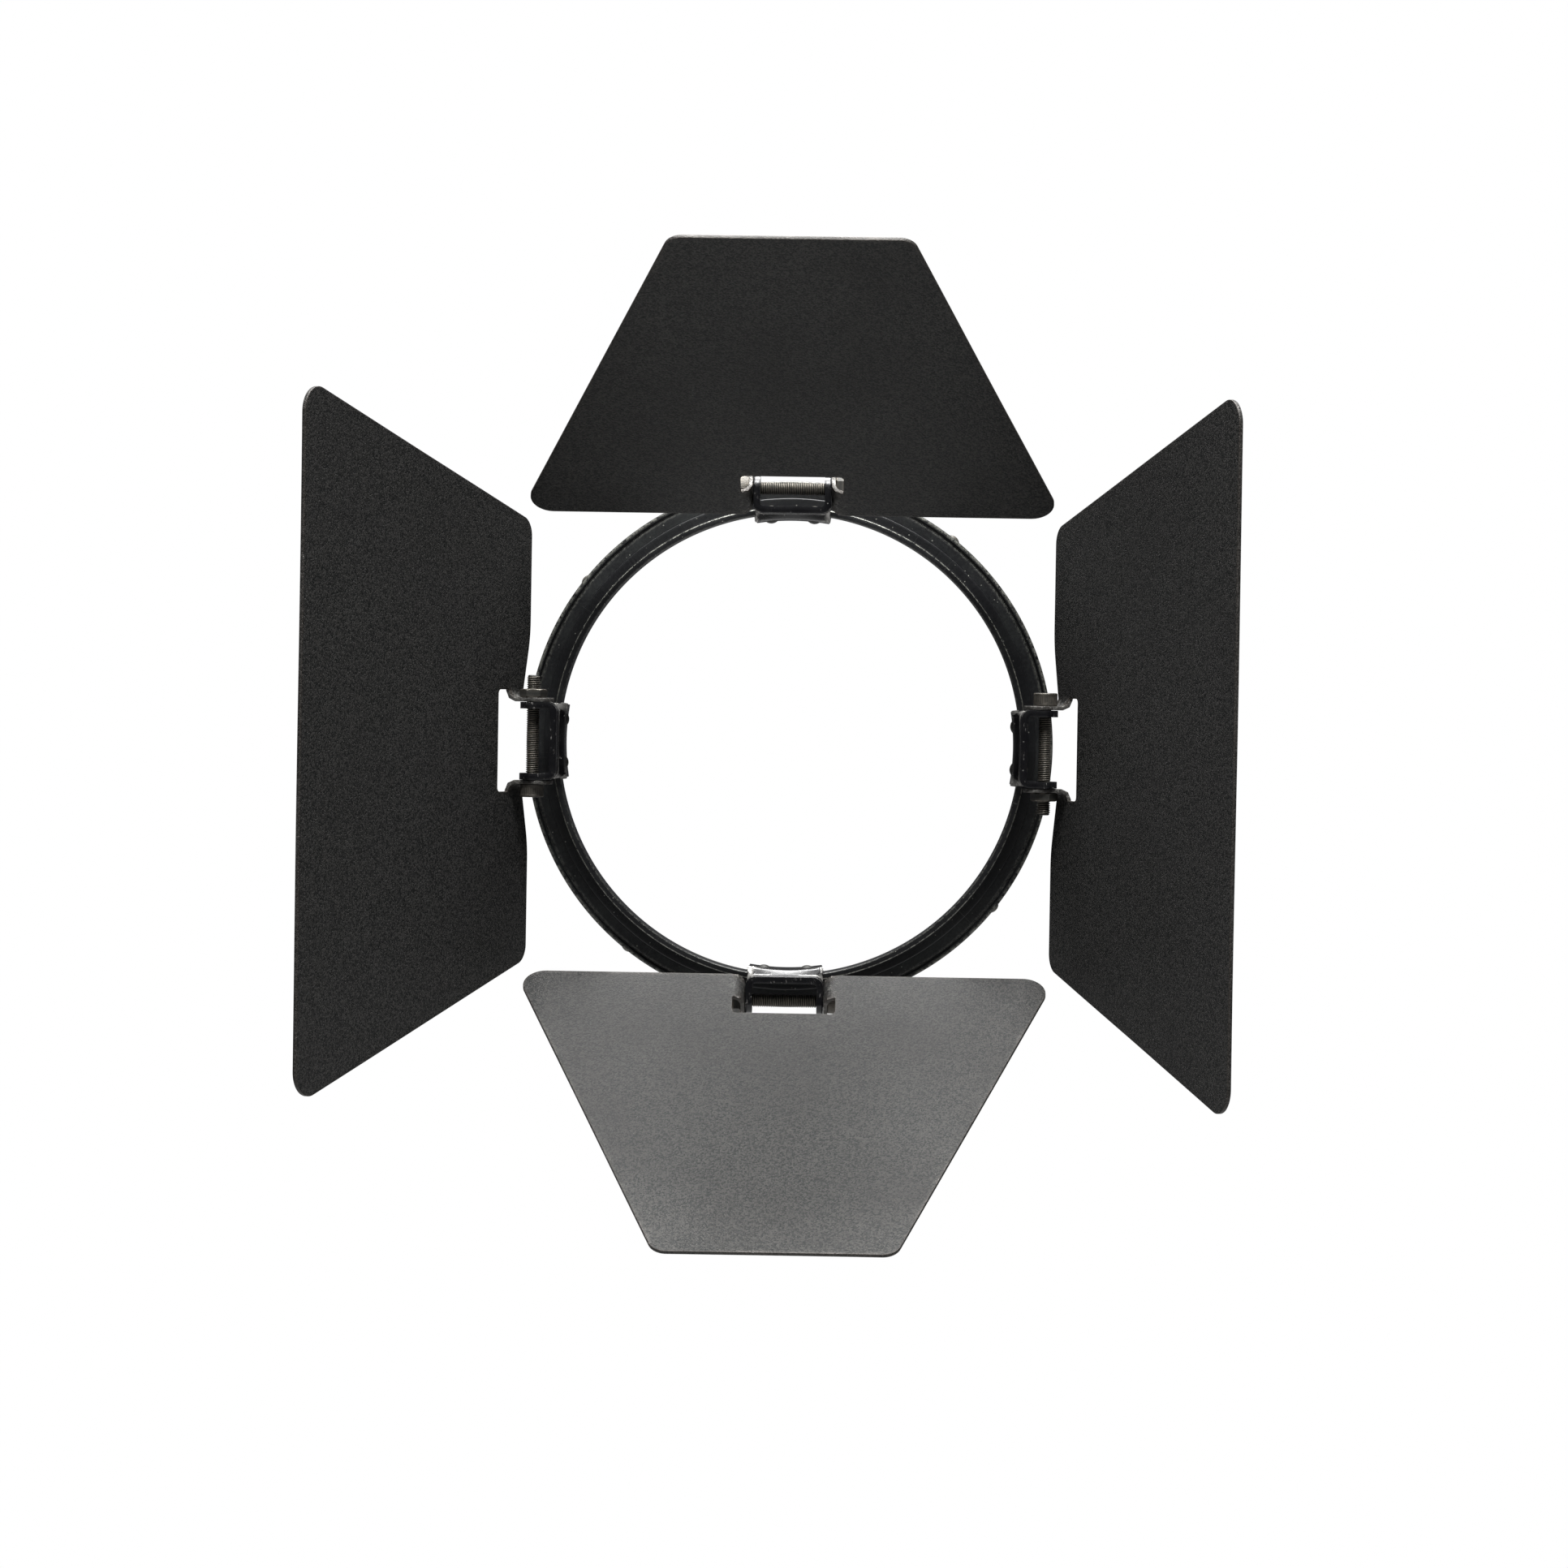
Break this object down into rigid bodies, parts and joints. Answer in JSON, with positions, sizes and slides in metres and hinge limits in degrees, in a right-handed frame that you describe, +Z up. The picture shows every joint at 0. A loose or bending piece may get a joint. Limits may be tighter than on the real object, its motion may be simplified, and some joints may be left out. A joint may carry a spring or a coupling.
{
  "type": "barn door attachment",
  "caption": "Round barn door for a spotlight: a ring that grips the lamp, a turning carrier and hinged black leaves, one pair tapered and one pair flared.",
  "frame": {"origin": "on the beam axis, in the bore that slides over the lamp's front rim", "axes": "+Z up, -Y the way the beam leaves, +Y back towards the lamp, +X to the right as seen from in front"},
  "size_m": [0.2017, 0.1114, 0.219],
  "materials": {
    "ring_paint": "satin black paint over aluminium, worn at the edges",
    "collar_metal": "black, fine turned grooves at the front edge",
    "leaf_paint": "matt black powder coat with a fine grain",
    "bracket_paint": "semi-gloss black",
    "screw_steel": "black oxide steel",
    "spring_steel": "bare spring steel",
    "rivet_steel": "blackened steel"
  },
  "bodies": {
    "mounting_band": {"mounting_ring": "ring_paint", "grip_spring_1": "spring_steel", "grip_spring_2": "spring_steel", "grip_spring_3": "spring_steel", "grip_spring_4": "spring_steel", "grip_rivets": "rivet_steel"},
    "carrier": {"carrier_ring": "collar_metal", "snap_ring": "spring_steel", "bracket_rivets": "rivet_steel", "top_bracket": "bracket_paint", "right_bracket": "bracket_paint", "bottom_bracket": "bracket_paint", "left_bracket": "bracket_paint"},
    "top_leaf_body": {"top_leaf": "leaf_paint", "top_hinge_screw": "screw_steel", "top_hinge_nut": "screw_steel"},
    "right_leaf_body": {"right_leaf": "leaf_paint", "right_hinge_screw": "screw_steel", "right_hinge_nut": "screw_steel"},
    "bottom_leaf_body": {"bottom_leaf": "leaf_paint", "bottom_hinge_screw": "screw_steel", "bottom_hinge_nut": "screw_steel"},
    "left_leaf_body": {"left_leaf": "leaf_paint", "left_hinge_screw": "screw_steel", "left_hinge_nut": "screw_steel"}
  },
  "joints": [
    {"name": "carrier_turn", "type": "hinge", "parent": "mounting_band", "child": "carrier", "pos_m": [0, 0, 0], "axis": [0, 1, 0], "continuous": true},
    {"name": "top_leaf_fold", "type": "hinge", "parent": "carrier", "child": "top_leaf_body", "pos_m": [0, -0.023, 0.0587], "axis": [1, 0, 0], "range_deg": [-94, 70]},
    {"name": "right_leaf_fold", "type": "hinge", "parent": "carrier", "child": "right_leaf_body", "pos_m": [0.0587, -0.023, 0], "axis": [0, 0, -1], "range_deg": [-108.5, 39.5]},
    {"name": "bottom_leaf_fold", "type": "hinge", "parent": "carrier", "child": "bottom_leaf_body", "pos_m": [0, -0.023, -0.0587], "axis": [-1, 0, 0], "range_deg": [-95, 69]},
    {"name": "left_leaf_fold", "type": "hinge", "parent": "carrier", "child": "left_leaf_body", "pos_m": [-0.0587, -0.023, 0], "axis": [0, 0, 1], "range_deg": [-103.5, 44.5]}
  ]
}
